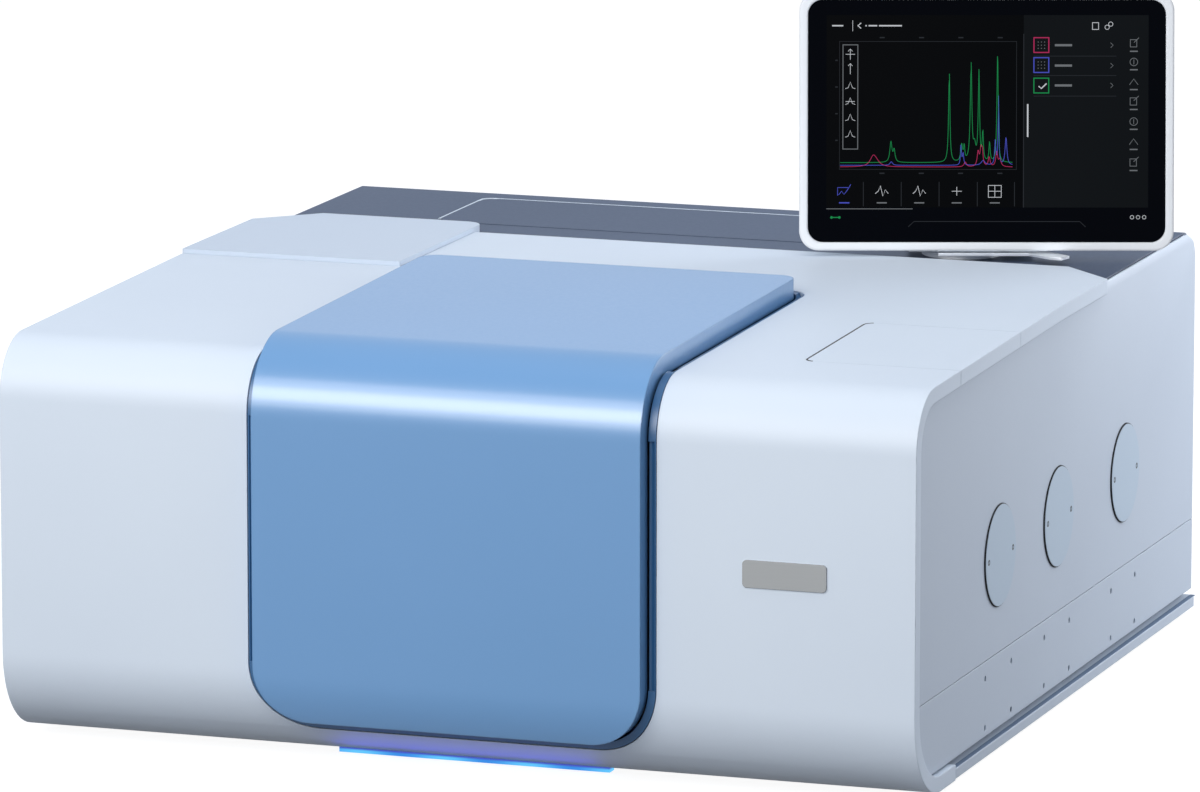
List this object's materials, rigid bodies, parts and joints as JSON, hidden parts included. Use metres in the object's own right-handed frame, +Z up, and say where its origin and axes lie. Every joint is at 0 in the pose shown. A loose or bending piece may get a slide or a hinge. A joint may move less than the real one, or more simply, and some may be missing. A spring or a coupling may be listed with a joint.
{
  "type": "fourier transform infrared spectrometer",
  "caption": "Benchtop infrared spectrometer with a wrapped pale shell, a hinged blue sample lid, side beam ports, service covers and a tilting touch display on the rear deck.",
  "frame": {"origin": "centre of the bounding box, on the bench under the feet", "axes": "X across the width, +Y to the back, +Z up"},
  "size_m": [0.6876, 0.737, 0.4865],
  "materials": {
    "shell": "fine satin moulding",
    "lid": "satin, blue",
    "frame_band": "satin, blue",
    "panel": "satin powder coat",
    "deck": "satin, dark grey",
    "strip": "anodised",
    "steel": "brushed",
    "aluminium": "machined",
    "tray": "matt powder coat",
    "rubber": "matt",
    "light": "clear diffuser, blue",
    "badge": "satin",
    "black_plastic": "fine texture",
    "brass": "plain",
    "liner": "fine texture",
    "window": "polished",
    "black_metal": "black anodised",
    "casting": "as cast",
    "board": "solder mask",
    "cartridge": "satin",
    "stand": "satin anodised",
    "display_rim": "satin",
    "display_glass": "gloss black"
  },
  "bodies": {
    "case": {"front_shell": "shell", "sample_frame": "frame_band", "lid_hinge_brackets": "steel", "lid_hinge_pins": "steel", "left_cover_bracket": "steel", "left_cover_pin": "steel", "hatch_ledge": "steel", "side_panel_right": "panel", "side_panel_left": "panel", "lower_panel_right": "panel", "lower_panel_left": "panel", "side_frame_right": "aluminium", "side_frame_left": "aluminium", "port_covers": "panel", "port_screws": "steel", "base_tray": "tray", "base_strip_right": "strip", "base_strip_left": "strip", "feet": "rubber", "light_bar": "light", "badge_plate": "badge", "rear_deck": "deck", "deck_cover": "deck", "rear_panel": "panel", "fan_frame": "black_plastic", "mains_inlet": "black_plastic", "switch_frame": "black_plastic", "data_sockets": "steel", "purge_fittings": "brass", "sample_tub": "liner", "window_rings": "aluminium", "beam_windows": "window", "sample_rail": "aluminium", "sample_holder": "black_metal", "optical_bench": "casting", "beamsplitter_bay": "liner", "beamsplitter": "aluminium", "fixed_mirror": "aluminium", "mirror_guide": "casting", "laser_tube": "aluminium", "source_housing": "black_metal", "focus_mirrors": "aluminium", "detector": "steel", "control_board": "board", "power_supply": "steel", "desiccant_bay": "black_plastic", "desiccant_cartridges": "cartridge", "display_swivel": "steel"},
    "sample_lid": {"sample_lid": "lid"},
    "left_cover": {"left_cover": "shell"},
    "service_hatch": {"service_hatch": "shell"},
    "display_arm": {"display_stand": "stand", "display_tilt_pin": "steel"},
    "display": {"display_housing": "display_rim", "display_glass": "display_glass"},
    "power_switch": {"power_switch": "black_plastic"},
    "sample_slide": {"sample_slide": "steel"},
    "aperture_wheel": {"aperture_wheel": "black_metal"},
    "moving_mirror": {"moving_mirror": "aluminium"},
    "fan_rotor": {"fan_rotor": "black_plastic"}
  },
  "joints": [
    {"name": "sample_lid_hinge", "type": "hinge", "parent": "case", "child": "sample_lid", "pos_m": [-0.00934, -0.0244, 0.2994], "axis": [-1, 0, 0], "range_deg": [0, 75]},
    {"name": "left_cover_hinge", "type": "hinge", "parent": "case", "child": "left_cover", "pos_m": [-0.25909, 0.1665, 0.295], "axis": [-1, 0, 0], "range_deg": [0, 60]},
    {"name": "service_hatch_lift", "type": "slide", "parent": "case", "child": "service_hatch", "axis": [0, 0, 1], "range_m": [0, 0.08]},
    {"name": "display_swivel_hinge", "type": "hinge", "parent": "case", "child": "display_arm", "pos_m": [0.18766, 0.1995, 0.291], "axis": [0, 0, 1], "range_deg": [-35, 35]},
    {"name": "display_tilt_hinge", "type": "hinge", "parent": "display_arm", "child": "display", "pos_m": [0.18766, 0.1995, 0.331], "axis": [-0.9455, -0.3256, 0], "range_deg": [0, 20]},
    {"name": "power_switch_rocker", "type": "hinge", "parent": "case", "child": "power_switch", "pos_m": [-0.25074, 0.3495, 0.0495], "axis": [1, 0, 0], "range_deg": [-8, 8]},
    {"name": "sample_slide_lift", "type": "slide", "parent": "case", "child": "sample_slide", "axis": [0, 0, 1], "range_m": [0, 0.045]},
    {"name": "aperture_wheel_turn", "type": "hinge", "parent": "case", "child": "aperture_wheel", "pos_m": [0.16266, 0.0085, 0.117], "axis": [1, 0, 0], "continuous": true},
    {"name": "moving_mirror_scan", "type": "slide", "parent": "case", "child": "moving_mirror", "axis": [1, 0, 0], "range_m": [-0.01, 0.01]},
    {"name": "fan_turn", "type": "hinge", "parent": "case", "child": "fan_rotor", "pos_m": [-0.06934, 0.3335, 0.165], "axis": [0, 1, 0], "continuous": true}
  ]
}
